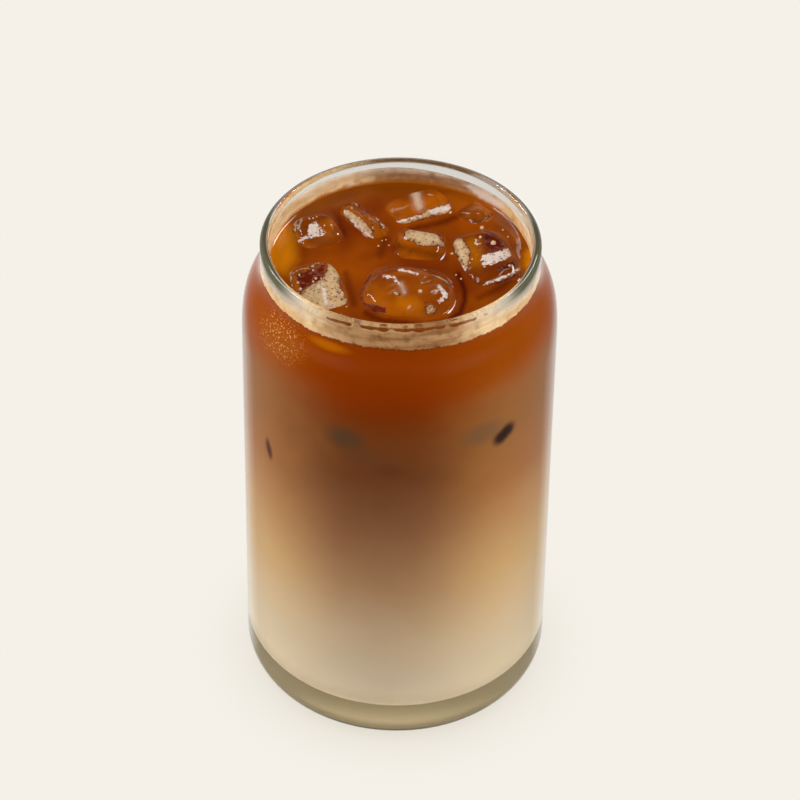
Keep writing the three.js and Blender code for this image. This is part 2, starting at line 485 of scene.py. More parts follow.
def cube_skin(steps):
    """Points and quads of a cube from -1 to 1 whose six sides are grids, welded along the edges."""
    line = np.linspace(-1, 1, steps + 1)
    across, along = np.meshgrid(line, line, indexing="ij")
    one = np.ones_like(across)
    sides = [
        np.stack([one, across, along], -1),
        np.stack([-one, along, across], -1),
        np.stack([along, one, across], -1),
        np.stack([across, -one, along], -1),
        np.stack([across, along, one], -1),
        np.stack([along, across, -one], -1),
    ]
    points = np.concatenate([side.reshape(-1, 3) for side in sides])
    i, j = np.meshgrid(np.arange(steps), np.arange(steps), indexing="ij")
    corner = (i * (steps + 1) + j).ravel()
    quads = np.stack([corner, corner + steps + 1, corner + steps + 2, corner + 1], -1)
    quads = np.concatenate([quads + side * (steps + 1) ** 2 for side in range(6)])
    welded, number = np.unique(points.round(9), axis=0, return_inverse=True)
    return welded, number.ravel()[quads]


print("a cube of grids:", len(cube_skin(ICE_STEPS)[0]), "points")


# %% The block's formula
DENT = 0.022  # depth of the dents as a share of a block's half size


def turning(turn, tip, roll):
    """Rotation matrix: first tip about X, then roll about Y, then turn about Z."""
    a, b, c = np.radians([tip, roll, turn])
    about_x = np.array([[1, 0, 0], [0, np.cos(a), -np.sin(a)], [0, np.sin(a), np.cos(a)]])
    about_y = np.array([[np.cos(b), 0, np.sin(b)], [0, 1, 0], [-np.sin(b), 0, np.cos(b)]])
    about_z = np.array([[np.cos(c), -np.sin(c), 0], [np.sin(c), np.cos(c), 0], [0, 0, 1]])
    return about_z @ about_y @ about_x


def shell_size(p, corner, crown):
    """1 on the block's shell, more outside it: (|x|^corner + |y|^corner)^(crown/corner) + |z|^crown,
    to the power 1/crown."""
    plan = (np.abs(p[..., 0]) ** corner + np.abs(p[..., 1]) ** corner) ** (crown / corner)
    return (plan + np.abs(p[..., 2]) ** crown) ** (1 / crown)


def three_waves(places, directions, phases):
    """Sum of three sine waves along three directions, weighted so that it stays from -1 to 1."""
    return np.sin(places @ np.array(directions).T + phases) @ np.array([0.45, 0.35, 0.2])


def dents(p, phase):
    """Three waves through space, for the uneven surface of old ice."""
    return three_waves(p, [(4.1, 2.3, 3.7), (-3.1, 5.3, 2.9), (8.3, -7.1, 6.7)], phase * np.array([1, 2, 3]))


def ice_block(name):
    """A block's points, quads and place: the cube's points pulled to the shell, dented and turned."""
    x, y, top, half, turn, tip, roll, corner, crown = ICE_BLOCKS[name]
    cube, quads = cube_skin(ICE_STEPS)
    melt = 1 - MELT * np.sin(2.3 * cube[:, 0] + x) * np.cos(2.7 * cube[:, 1] + y)
    pulled = cube * (melt / shell_size(cube, corner, crown))[:, None]
    pulled *= (1 + DENT * dents(pulled, x + y))[:, None]
    turned = (pulled * half) @ turning(turn, tip, roll).T
    middle = np.array([x, y, top - turned[:, 2].max()]) * MM
    return turned * MM + middle, quads, middle


ice = {name: ice_block(name) for name in ICE_BLOCKS}
print("ice reaches up to", round(max(points[:, 2].max() for points, _, _ in ice.values()) / MM, 1), "mm")

# %% Ice pieces
ice_pieces = {}
for name, (points, quads, middle) in ice.items():
    block = make_piece("clear_" + name, points, quads.tolist())
    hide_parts(name)
    ice_pieces[name] = block
print(len(ice_pieces), "blocks,", len(quads), "quads each")

# %% [markdown]
# ## The drink's surface
#
# The liquid's top is level, apart from three things that make it look wet: it climbs a little up the
# glass, it climbs up each block of ice, and under a block it dips, so that the eye looks down through
# the clear ice onto the coffee. All three are heights over a round grid, added up as whole arrays. How
# far a point lies from a block is worked out from the block's own formula.

# %% Heights of the surface
WALL_CLIMB = 0.5 * MM
ICE_CLIMB = 0.3 * MM
CLIMB_WIDTH = 0.8 * MM
HOLLOW_DEPTH = 1.8 * MM
HOLLOW_SLOPE = 1.8 * MM
HOLLOW_EDGE = 0.2 * MM
HOLLOW_WAVES = 7 * MM


def beyond_block(name, points):
    """How far points of a level lie outside a block's waterline, in metres; negative inside. At that
    level the shell's plan is |u|^corner + |v|^corner = waterline^corner in the block's own axes, so a
    point at size q from its middle has to move in by the share 1 - waterline / q."""
    _, _, _, half, turn, tip, roll, corner, crown = ICE_BLOCKS[name]
    middle = ice[name][2]
    own = (points - middle) @ turning(turn, tip, roll) / (np.array(half) * MM)
    size = (np.abs(own[..., 0]) ** corner + np.abs(own[..., 1]) ** corner) ** (1 / corner)
    waterline = np.maximum(1 - np.abs(own[..., 2]) ** crown, 0) ** (1 / crown)
    plan = np.hypot(own[..., 0] * half[0], own[..., 1] * half[1]) * MM
    return plan * (1 - waterline / np.maximum(size, 1e-4))


def surface_height(x, y):
    """Level + climb at the wall + the highest climb at any block - the dip under a block."""
    flat = np.stack([x, y, np.full_like(x, DRINK_LEVEL)], axis=-1)
    beyond = np.min([beyond_block(name, flat) for name in ICE_BLOCKS], axis=0)
    to_wall = np.maximum(inner_radius(DRINK_LEVEL) - np.hypot(x, y), 0)
    wall = WALL_CLIMB * np.exp(-to_wall / CLIMB_WIDTH)
    edge = ICE_CLIMB * np.exp(-np.maximum(beyond, 0) / CLIMB_WIDTH)
    uneven = 0.75 + 0.25 * dents(flat / HOLLOW_WAVES, 1.0)
    dip = HOLLOW_DEPTH * uneven * smooth_step(-beyond, HOLLOW_EDGE, HOLLOW_SLOPE)
    return DRINK_LEVEL + np.maximum(wall, edge) - dip


front_wall = surface_height(np.zeros(1), -inner_radius(np.array([DRINK_LEVEL])))
print("the drink climbs the front wall by", ((front_wall - DRINK_LEVEL) / MM).round(2), "mm")

# %% [markdown]
# ## The drink
#
# A liquid takes the shape of its vessel, so the drink is a turned skin too: the side follows the inside
# of the glass, and the top is the surface above, as a grid of rings. It reaches a little into the wall,
# because glass right against liquid mirrors nothing, while a gap of air would shine like a mirror. The
# side and the top get a material each, by the number of the face.

# %% Drink mesh
REACH = 0.25 * MM  # how far the drink reaches into the glass, so that no air shows between them
DRINK_COLUMNS = 512
DRINK_CORNER_STEPS = 12
DRINK_SHOULDER_STEPS = 28
SURFACE_RINGS = 150

side = inside_curve(REACH, DRINK_CORNER_STEPS, DRINK_SHOULDER_STEPS)
side = side[side[:, 1] < DRINK_LEVEL]
edge_radius = inner_radius(DRINK_LEVEL) + REACH
side = np.vstack([side, [edge_radius, DRINK_LEVEL + WALL_CLIMB]])
side_radius = np.repeat(side[:, :1], DRINK_COLUMNS, axis=1)
side_height = np.repeat(side[:, 1:], DRINK_COLUMNS, axis=1)
share = np.linspace(1, 0, SURFACE_RINGS + 1)[1:-1, None]
top_radius = np.repeat(share * edge_radius, DRINK_COLUMNS, axis=1)
around = np.arange(DRINK_COLUMNS) * (2 * np.pi / DRINK_COLUMNS)
top_height = surface_height(top_radius * np.cos(around), top_radius * np.sin(around))
middle_height = float(surface_height(np.zeros(1), np.zeros(1))[0])
drink = turned_skin(
    "layered_coffee",
    np.vstack([side_radius, top_radius]),
    np.vstack([side_height, top_height]),
    FLOOR_HEIGHT - REACH,
    middle_height,
)
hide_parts("milk", "milky_coffee", "coffee")
side_faces = (len(side) - 1) * DRINK_COLUMNS
slots = np.ones(len(drink.data.polygons), dtype=np.int32)
slots[:side_faces] = 0
slots[len(slots) - 2 * DRINK_COLUMNS : len(slots) - DRINK_COLUMNS] = 0
drink.data.polygons.foreach_set("material_index", slots)
print("drink:", len(slots), "faces")

# %% [markdown]
# ## Layers of the drink
#
# Espresso was poured over ice and milk, so the colour runs from dark orange-brown, through a cloudy mix, down
# to cream. It is two procedural ramps along the height, one for the dark middle and one for the left and
# right sides, which are painted lighter and paler: painted light where light from the side falls on the
# drink. A ramp for each is simpler to tune than one ramp that is bent.
# Slow noise shifts the height that they read, so the layers aren't ruled lines.

# %% Colours of the layers
FRONT_LAYERS = [
    (9, (226, 204, 176)),
    (21, (203, 184, 161)),
    (36, (192, 167, 138)),
    (52, (171, 133, 99)),
    (70, (142, 98, 67)),
    (88, (115, 67, 37)),
    (100, (121, 64, 28)),
    (108, (128, 54, 8)),
    (113, (137, 52, 1)),
    (126, (137, 54, 0)),
]
# Painted light: the ramp for the left and right sides is lighter and paler, where side light falls.
PAINTED_LIGHT_SIDE_LAYERS = [
    (9, (220, 200, 172)),
    (25, (202, 183, 156)),
    (40, (198, 169, 132)),
    (52, (191, 156, 108)),
    (66, (178, 134, 88)),
    (82, (157, 103, 57)),
    (98, (146, 95, 48)),
    (109, (146, 90, 42)),
    (115, (147, 71, 9)),
    (126, (140, 63, 3)),
]
print("layers:", len(FRONT_LAYERS), "and", len(PAINTED_LIGHT_SIDE_LAYERS), "stops")

# %% Drink's side material
CLOUD_SCALE = 28
CLOUD_SHIFT = 9 * MM
WISP_SCALE = 110
WISP_SHIFT = 2.5 * MM
DARK_MIDDLE = -4 * MM  # the darkest part of the front lies a little to the left
DARK_HALF_WIDTH = 7 * MM
SIDES_FROM = 30 * MM
SIDEWAYS_SHIFT = 9 * MM  # how far wisps move the border between middle and sides

coffee_side, tree, output = new_material("coffee_through_the_glass")
place = object_place(tree)
split = add_node(tree, "ShaderNodeSeparateXYZ", {0: place})
clouds = maths(tree, "SUBTRACT", noise(tree, CLOUD_SCALE, 3, place=place), 0.5)
wisps = maths(tree, "SUBTRACT", noise(tree, WISP_SCALE, 2, place=place), 0.5)
read_height = maths(tree, "MULTIPLY_ADD", clouds, CLOUD_SHIFT, split.outputs["Z"])
read_height = maths(tree, "MULTIPLY_ADD", wisps, WISP_SHIFT, read_height)
layer_share = maths(tree, "DIVIDE", read_height, DRINK_LEVEL)


def layer_colour(layers):
    """The ramp of one list of layers, read by height."""
    stops = [(height * MM / DRINK_LEVEL, paint(*colour)) for height, colour in layers]
    return colour_ramp(tree, layer_share, stops)


from_middle = maths(tree, "ABSOLUTE", maths(tree, "SUBTRACT", split.outputs["X"], DARK_MIDDLE))
from_middle = maths(tree, "MULTIPLY_ADD", wisps, SIDEWAYS_SHIFT, from_middle)
# How much of the painted light of the sides shows, growing away from the dark middle.
painted_light_at_sides = smooth_range(tree, from_middle, DARK_HALF_WIDTH, SIDES_FROM)
side_colour = blend(tree, painted_light_at_sides, layer_colour(FRONT_LAYERS), layer_colour(PAINTED_LIGHT_SIDE_LAYERS))
print("layers blend in", len(tree.nodes), "nodes")

# %% [markdown]
# ## Marks at the wall
#
# Ice that lies sunk in the drink touches the wall here and there and shows as a dark or greyish spot,
# and a patch of tiny bubbles clings below the shoulder. Each is an oval spot in the colour of the side,
# placed by its heading round the glass and its height. Solid pieces would have to be seen through milk.
# The underside, which the base of the glass shows by reflection, carries a painted shade that makes it a
# little darker towards the back.

# %% Marks in the drink that show through the wall
def near_wall_spot(tree, place, heading, height, across, tall):
    """1 in the middle of an oval spot on the drink's side and 0 at its rim. heading is the angle from
    the front, in degrees to the right; the distance is |(p - middle) / (across, across, tall)|."""
    radius = float(inner_radius(height * MM)) / MM
    turned_by = math.radians(heading)
    middle = np.array([radius * math.sin(turned_by), -radius * math.cos(turned_by), height]) * MM
    sizes = np.array([across, across, tall]) * MM
    to_middle = vector_maths(tree, "SUBTRACT", place, tuple(middle))
    reach = vector_maths(tree, "LENGTH", vector_maths(tree, "MULTIPLY", to_middle, tuple(1 / sizes)))
    return smooth_range(tree, reach, 1.0, 0.25)


SUNK_ICE = [
    # heading, height, across, tall (mm), strength, colour
    (33, 99, 8.0, 4.5, 0.55, (104, 80, 58)),
    (41.2, 95, 3.4, 3.2, 0.95, (36, 14, 8)),
    (44.6, 96.2, 3.4, 3.2, 0.95, (32, 12, 10)),
    (-56.9, 84.8, 1.6, 3.2, 0.85, (70, 30, 16)),
    (-55.6, 83.1, 1.6, 3.2, 0.85, (70, 30, 16)),
    (-20, 100, 7.0, 5.0, 0.75, (84, 64, 42)),
    (-12, 95, 7.5, 4.2, 0.35, (98, 68, 42)),
    (-3, 91.5, 6.0, 3.0, 0.4, (92, 54, 28)),
    (-30, 123.2, 7.5, 1.7, 0.8, (176, 98, 0)),
    (-52, 118, 10.0, 6.0, 0.25, (160, 100, 40)),
]
BUBBLY_PATCH = (-54, 119, 11, 8)  # heading, height, across, tall
BUBBLY_STRENGTH = 0.75
SPECKLE_SCALE = 1900
UNDERSIDE = FLOOR_HEIGHT + 0.2 * MM
UNDERSIDE_FADE = 0.4 * MM
UNDERSIDE_PAINTED_SHADE = (-10 * MM, 8 * MM)  # from the front to the back
UNDERSIDE_SHADE_STRENGTHS = (0.1, 0.6)
for heading, height, across, tall, strength, colour in SUNK_ICE:
    spot = near_wall_spot(tree, place, heading, height, across, tall)
    side_colour = blend(tree, maths(tree, "MULTIPLY", spot, strength), side_colour, paint(*colour))
speckles = smooth_range(tree, noise(tree, SPECKLE_SCALE, 1, place=place), 0.56, 0.7)
bubbly = maths(tree, "MULTIPLY", speckles, near_wall_spot(tree, place, *BUBBLY_PATCH))
side_colour = blend(tree, maths(tree, "MULTIPLY", bubbly, BUBBLY_STRENGTH), side_colour, paint(214, 160, 104))
# Painted shade on the drink's underside, stronger towards the back.
under = smooth_range(tree, split.outputs["Z"], UNDERSIDE + UNDERSIDE_FADE, UNDERSIDE)
to_back = smooth_range(tree, split.outputs["Y"], *UNDERSIDE_PAINTED_SHADE, *UNDERSIDE_SHADE_STRENGTHS)
side_colour = blend(tree, maths(tree, "MULTIPLY", under, to_back), side_colour, paint(112, 98, 78))
end_network(tree, output, {"Base Color": side_colour, "Roughness": 0.6, "Specular IOR Level": 0.0})
drink.data.materials.append(coffee_side)
print("marks of sunk ice and bubbles:", len(SUNK_ICE))

# %% [markdown]
# ## The coffee's surface
#
# Seen from above, coffee is a dark mirror with a brown body. Its body is painted brighter at the wall, a
# painted glow where light comes in from the side, and it looks blotchy through ice. Which points lie under a
# block, and where painted glow and painted shade lie, is stored on the mesh further down, where the helper
# for such marks is made.

# %% Drink's top material
WALL_PAINTED_GLOW_RADII = (24 * MM, 31.5 * MM)
WALL_PAINTED_GLOW = 0.15
CLOUDY_SCALE = 60
MOTTLED_SCALE = 75
dark_brown = paint(110, 40, 1)
orange_brown = paint(148, 67, 1)
painted_glow_colour = paint(212, 128, 4)
seen_golden = paint(160, 82, 2)
seen_dark = paint(116, 48, 2)
painted_shade_colour = paint(70, 10, 0)

coffee_top, tree, output = new_material("coffee_surface")
place = object_place(tree)
from_axis = vector_maths(tree, "LENGTH", vector_maths(tree, "MULTIPLY", place, (1, 1, 0)))
near_wall = smooth_range(tree, from_axis, *WALL_PAINTED_GLOW_RADII)
cloudy = smooth_range(tree, noise(tree, CLOUDY_SCALE, 2, place=place), 0.3, 0.75)
mottled = smooth_range(tree, noise(tree, MOTTLED_SCALE, 2, place=place), 0.3, 0.7)
body_colour = blend(tree, cloudy, dark_brown, orange_brown)
through_ice = blend(tree, mottled, seen_dark, seen_golden)
body_colour = blend(tree, attribute(tree, "under_ice"), body_colour, through_ice)
# Painted glow: the band of painted light at the wall and the glow marks, both in the golden colour.
painted_glow = maths(tree, "MAXIMUM", maths(tree, "MULTIPLY", near_wall, WALL_PAINTED_GLOW), attribute(tree, "painted_glow"))
top_colour = blend(tree, painted_glow, body_colour, painted_glow_colour)
# Painted shade on the coffee's top, in dark red.
top_colour = blend(tree, attribute(tree, "painted_shade"), top_colour, painted_shade_colour)
end_network(tree, output, {"Base Color": top_colour, "Roughness": 0.03, "IOR": 1.33})
drink.data.materials.append(coffee_top)
print("coffee's surface painted")

# %% [markdown]
# ## Marks by where they show
#
# Cracks, scrapes and painted stripes of light on the ice follow no rule, so they are drawn one by one: a mark
# is a line or an outline in the camera's pixels, and every point of the mesh looks up its distance from that
# line, as the camera sees it. The result is one number for each point, which the material reads.
# A painted image would do the same, but would have to be laid onto every block.

# %% Helper for marks that are placed by where they show
def pixels_from(pixels, line, closed=False):
    """Distance in pixels from each place to the nearest part of a line; negative inside a closed one."""
    line = np.array(line, float)
    ends = np.roll(line, -1, axis=0) if closed else line[1:]
    starts = line if closed else line[:-1]
    run = ends - starts
    to_start = pixels[:, None, :] - starts
    along = (to_start * run).sum(-1) / np.maximum((run * run).sum(-1), 1e-9)
    nearest = np.clip(along, 0, 1)[..., None] * run
    distance = np.linalg.norm(to_start - nearest, axis=-1).min(axis=1)
    if not closed:
        return distance
    spans = (starts[:, 1] > pixels[:, None, 1]) != (ends[:, 1] > pixels[:, None, 1])
    slope = run[:, 0] / np.where(run[:, 1] == 0, 1e-9, run[:, 1])
    crossing = starts[:, 0] + (pixels[:, None, 1] - starts[:, 1]) * slope
    inside_line = (spans & (pixels[:, None, 0] < crossing)).sum(axis=1) % 2 == 1
    return np.where(inside_line, -distance, distance)


def ragged_edge(pixels):
    """Three waves over the picture that make the outline of a mark uneven."""
    return three_waves(pixels, [(0.71, 0.43), (-0.59, 1.13), (1.73, 0.97)], np.array([0, 1, 2]))


def marks(pixels, drawn, fade, ragged=0.7):
    """The strongest of several marks at each place. A line is (half width in pixels, strength, its
    points), and an area that the points go round has half width 0. Both fade out across their edge,
    which is moved by up to ragged pixels."""
    strongest = np.zeros(len(pixels))
    uneven = ragged * ragged_edge(pixels)
    for half_width, strength, line in drawn:
        distance = pixels_from(pixels, line, closed=half_width == 0) + uneven - half_width
        inner = -min(fade, 1.2 * half_width) if half_width else -fade
        strongest = np.maximum(strongest, strength * (1 - smooth_step(distance, inner, fade)))
    return strongest


print("(3, 4) is", pixels_from(np.array([[3.0, 4.0]]), [(0, 0), (0, 8)]), "pixels from the line x = 0")

# %% [markdown]
# ## Frosted places, painted highlights and painted shade
#
# frost is a cracked or scraped place that the milky coffee has wetted; the shining mark is a painted
# highlight, a stripe of reflected light painted on; the dark mark is painted shade, the dark coffee that an
# inside edge shows; and haze is a cloud of fine bubbles in the ice. core is the frost once more with a wide
# edge, so that the material can tell the middle of a mark from its rim.

# %% Marks on the blocks at the back
BACK_ICE_MARKS = {
    "ice_left": {
        "frost": [
            (1.6, 0.9, [(305, 203), (301, 207), (298, 214), (295, 224), (295, 231)]),
            (2.0, 0.8, [(311, 202), (307, 208), (303, 216), (298, 228)]),
            (1.2, 0.5, [(289, 230), (286, 240)]),
        ],
        "haze": [(1.0, 0.3, [(318, 208), (323, 212)])],
        "painted_gleam": [
            (0, 0.95, [(309, 224), (316, 221), (320, 227), (327, 232), (322, 236), (315, 236), (308, 236),
                       (308, 231)]),
            (1.4, 1.0, [(299, 241), (304, 238), (312, 236), (319, 235)]),
            (1.3, 1.0, [(288, 248), (296, 245)]),
        ],
        "dark": [
            (1.0, 0.9, [(298, 220), (300, 211), (303, 204)]),
            (3.5, 0.5, [(334, 232), (341, 226), (343, 216)]),
        ],
    },
    "ice_slab": {
        "frost": [
            (0, 1.0, [(343, 209), (347, 209), (360, 217), (368, 226), (372, 232), (376, 244), (371, 245),
                      (362, 235), (355, 228), (352, 223), (343, 215)]),
            (1.8, 0.8, [(352, 201), (358, 205)]),
            (1.2, 0.8, [(368, 207), (372, 211), (377, 219), (382, 224), (384, 228)]),
            (0.8, 0.6, [(371, 221), (374, 233)]),
            (1.5, 0.35, [(360, 239), (368, 240)]),
        ],
        "painted_gleam": [
            (1.2, 1.0, [(353, 221), (357, 226), (362, 228), (366, 233), (372, 239)]),
            (1.0, 0.8, [(345, 212), (346, 213)]),
        ],
        "dark": [
            (1.6, 0.9, [(342, 199), (352, 197), (360, 201), (366, 207), (368, 213)]),
            (0, 0.6, [(352, 206), (358, 206), (366, 213), (368, 220), (360, 214)]),
            (3.0, 0.75, [(340, 217), (345, 225), (352, 234)]),
            (1.3, 0.9, [(380, 225), (381, 227)]),
        ],
    },
    "ice_back": {
        "frost": [
            (0, 1.0, [(388, 227), (393, 222), (401, 220), (410, 219), (418, 215), (430, 209), (449, 203),
                      (455, 204), (458, 210), (447, 214), (430, 217), (410, 223), (391, 228)]),
            (0.9, 0.8, [(371, 199), (381, 195), (396, 191)]),
        ],
        "haze": [(4.0, 0.8, [(415, 192), (419, 206)])],
        "painted_gleam": [
            (2.2, 0.8, [(432, 212), (452, 206)]),
            (1.0, 0.7, [(396, 222), (420, 216)]),
        ],
        "dark": [
            (0, 0.85, [(406, 226), (430, 219), (447, 216), (457, 213), (457, 223), (440, 227), (420, 228)]),
        ],
    },
    "ice_corner": {
        "frost": [
            (1.6, 0.6, [(465, 230), (476, 226)]),
            (0.8, 0.6, [(471, 225), (483, 221), (496, 211)]),
            (1.4, 0.4, [(485, 220), (495, 218)]),
        ],
        "painted_gleam": [(1.2, 1.0, [(492, 206), (494, 207)])],
        "dark": [(1.2, 0.8, [(500, 207), (502, 208)])],
    },
}
print("marks listed for", *BACK_ICE_MARKS)

# %% Marks on the blocks at the right and in the middle
MIDDLE_ICE_MARKS = {
    "ice_right": {
        "frost": [
            (0, 1.0, [(448, 236), (461, 238), (467, 245), (471, 251), (469, 257), (467, 266), (466, 280),
                      (463, 276), (460, 266), (457, 255), (452, 245)]),
            (0.9, 0.9, [(474, 294), (480, 288), (488, 282)]),
            (0.9, 0.9, [(521, 264), (526, 256), (529, 246)]),
            (1.6, 0.6, [(465, 231), (476, 226)]),
            (1.2, 0.5, [(484, 268), (485, 271)]),
            (0.8, 0.5, [(456, 275), (460, 279)]),
        ],
        "painted_gleam": [
            (0, 0.9, [(480, 260), (484, 254), (493, 253), (505, 249), (513, 245), (520, 242), (520, 251),
                      (513, 255), (505, 260), (496, 263), (490, 265), (483, 265)]),
            (1.2, 0.8, [(463, 266), (466, 279)]),
            (1.3, 1.0, [(487, 283), (496, 280), (509, 275), (520, 269)]),
            (1.0, 1.0, [(462, 290), (466, 294), (474, 294)]),
        ],
        "dark": [
            (0, 0.9, [(487, 223), (510, 222), (512, 238), (518, 240), (513, 244), (505, 247), (493, 251),
                      (487, 248), (483, 238)]),
            (0, 0.9, [(496, 267), (505, 264), (513, 259), (521, 256), (521, 263), (517, 267), (505, 270),
                      (498, 272)]),
            (0.9, 0.8, [(490, 285), (506, 280), (522, 271)]),
        ],
    },
    "ice_middle": {
        "frost": [
            (0, 1.0, [(404, 237), (406, 231), (412, 226), (418, 223), (427, 223), (433, 227), (437, 234),
                      (444, 243), (450, 249), (452, 254), (446, 248), (438, 245), (425, 246), (418, 245),
                      (414, 241), (405, 240)]),
        ],
        "painted_gleam": [(0.9, 0.9, [(405, 238), (406, 239)]), (1.1, 0.9, [(452, 254), (453, 254)])],
        "dark": [
            (0.7, 0.9, [(414, 229), (420, 226), (428, 227), (433, 231)]),
            (1.8, 0.45, [(396, 236), (399, 246), (410, 252)]),
        ],
    },
}
print("marks listed for", *MIDDLE_ICE_MARKS)

# %% Marks on the blocks in front
FRONT_ICE_MARKS = {
    "ice_front": {
        "frost": [
            (0, 0.95, [(362, 282), (360, 290), (358, 298), (356, 298), (355, 290), (357, 286)]),
            (1.1, 0.85, [(368, 272), (374, 269), (380, 263), (390, 260)]),
            (0.9, 0.85, [(392, 258), (401, 261), (414, 264), (426, 270)]),
            (0.8, 0.7, [(430, 274), (442, 279), (453, 287)]),
            (1.6, 0.8, [(394, 293), (399, 294)]),
            (0, 0.75, [(424, 306), (431, 304), (437, 309), (434, 314), (427, 314)]),
        ],
        "painted_gleam": [
            (1.4, 0.9, [(387, 277), (393, 277), (399, 284)]),
            (1.1, 1.0, [(399, 270), (407, 271), (418, 274)]),
            (2.1, 0.95, [(439, 286), (446, 296)]),
            (2.0, 1.0, [(444, 315), (454, 311)]),
        ],
        "haze": [(0.8, 0.6, [(401, 284), (404, 292)])],
        "dark": [
            (0, 0.9, [(357, 302), (366, 303), (386, 307), (386, 313), (372, 313), (362, 309)]),
            (2.2, 1.0, [(456, 276), (461, 287), (464, 298), (462, 308), (455, 316), (444, 320), (430, 321)]),
            (1.5, 0.8, [(370, 276), (364, 284), (361, 294), (362, 303)]),
            (1.2, 0.5, [(424, 303), (431, 301), (439, 307)]),
        ],
    },
    "ice_front_left": {
        "frost": [
            (0, 1.0, [(327, 261), (338, 258), (347, 266), (344, 271), (340, 278), (339, 285), (341, 294),
                      (352, 306), (352, 318), (337, 318), (320, 311), (303, 302), (297, 294), (302, 291),
                      (313, 284), (323, 278), (327, 270)]),
            (1.8, 0.9, [(291, 274), (290, 283), (293, 291), (298, 296)]),
            (0.9, 0.9, [(337, 283), (340, 289), (344, 297), (352, 307), (356, 315)]),
            (0.9, 0.8, [(293, 274), (299, 269), (308, 268), (320, 262), (330, 259)]),
            (1.4, 0.5, [(298, 274), (300, 276)]),
        ],
        "painted_gleam": [
            (1.6, 0.9, [(319, 286), (322, 286)]),
            (1.8, 0.6, [(324, 290), (326, 304)]),
            (1.4, 0.9, [(331, 306), (334, 308)]),
            (1.2, 1.0, [(342, 311), (343, 312)]),
        ],
        "dark": [
            (0, 0.88, [(295, 275), (308, 270), (326, 263), (325, 273), (320, 281), (302, 290), (298, 284)]),
            (1.6, 0.45, [(333, 288), (341, 301)]),
            (1.2, 0.5, [(336, 310), (340, 312)]),
        ],
    },
}
print("marks listed for", *FRONT_ICE_MARKS)

# %% Marks stored on the ice
ICE_MARKS = BACK_ICE_MARKS | MIDDLE_ICE_MARKS | FRONT_ICE_MARKS
MARK_FADES = {"frost": 1.6, "painted_gleam": 1.4, "dark": 2.4, "haze": 4.0}
CORE_FADE = 6.0
for name, block in ice_pieces.items():
    seen_at = to_pixels(ice[name][0])
    for kind, drawn in ICE_MARKS[name].items():
        store(block, kind, marks(seen_at, drawn, MARK_FADES[kind]))
    store(block, "core", marks(seen_at, ICE_MARKS[name]["frost"], CORE_FADE))
print("marks drawn on", len(ICE_MARKS), "blocks")

# %% Painted shade and painted glow on the drink's top
PAINTED_SHADE_FADE = 4
PAINTED_GLOW_FADE = 10
TOP_RAGGED = 0.5
UNDER_ICE_FROM = (0.3 * MM, 1.5 * MM)  # inwards from a block's waterline
TOP_MARGIN = 0.1 * MM
# Painted shade: dark lines on the coffee where shadow falls by the ice. Painted glow: golden places where
# light shines through the coffee.
PAINTED_SHADE_MARKS = [
    (4, 0.5, [(386, 240), (380, 254)]),
    (3, 0.5, [(346, 274), (350, 290), (354, 304)]),
    (1.5, 0.9, [(458, 274), (464, 288), (465, 300), (460, 313), (448, 321), (430, 324)]),
    (1.5, 0.7, [(366, 313), (380, 320), (420, 325)]),
    (1.5, 0.5, [(478, 298), (500, 288), (524, 270)]),
    (3, 0.5, [(395, 248), (420, 254), (445, 258)]),
    (3, 0.6, [(338, 220), (345, 234)]),
    (4, 0.4, [(500, 215), (515, 228)]),
    (2.5, 0.7, [(412, 229), (440, 223), (456, 217)]),
    (3, 0.2, [(420, 190), (450, 192), (470, 200)]),
]
PAINTED_GLOW_MARKS = [
    (0, 0.8, [(262, 276), (264, 240), (284, 212), (294, 232), (296, 258), (286, 274)]),
    (1, 0.3, [(402, 305), (414, 308)]),
    (3, 0.8, [(528, 270), (530, 255)]),
    (3, 0.35, [(472, 246), (476, 264)]),
]

count = len(drink.data.vertices)
drink_points = np.empty(3 * count)
drink.data.vertices.foreach_get("co", drink_points)
drink_points = drink_points.reshape(-1, 3)
on_top = drink_points[:, 2] > DRINK_LEVEL - HOLLOW_DEPTH - TOP_MARGIN
seen_at = to_pixels(drink_points)
level_points = drink_points * [1, 1, 0] + [0, 0, DRINK_LEVEL]
nearest_block = np.min([beyond_block(name, level_points) for name in ICE_BLOCKS], axis=0)
store(drink, "under_ice", np.where(on_top, smooth_step(-nearest_block, *UNDER_ICE_FROM), 0))
store(drink, "painted_shade", np.where(on_top, marks(seen_at, PAINTED_SHADE_MARKS, PAINTED_SHADE_FADE, TOP_RAGGED), 0))
store(drink, "painted_glow", np.where(on_top, marks(seen_at, PAINTED_GLOW_MARKS, PAINTED_GLOW_FADE, TOP_RAGGED), 0))
print("surface marked on", int(on_top.sum()), "points")

# %% [markdown]
# ## Ice material
#
# Clear ice bends light by 1.31. Here it bends it by 1.22, because the blocks then look more like the
# real ones. Marks are made of the numbers stored above, broken up by noise that multiplies them, so
# that no noise shows on clear ice. Towards the middle of a mark the ice lets less and less light
# through, but the base colour switches to the mark's own right at its edge. If both changed together,
# the edge would be half opaque and still white, and every mark would get a pale fringe.

# %% Numbers that the ice material reads
ICE_BENDS = 1.22
CRUMB_SCALE = 700
GRIT_SCALE = 1700
SPECK_SCALE = 1300
wet_ice, tree, output = new_material("wet_ice")
place = object_place(tree)
crumbs = noise(tree, CRUMB_SCALE, 3, 0.6, place=place)
grit = smooth_range(tree, noise(tree, GRIT_SCALE, 1, place=place), 0.36, 0.64)
speck = smooth_range(tree, noise(tree, SPECK_SCALE, 1, place=place), 0.6, 0.68)


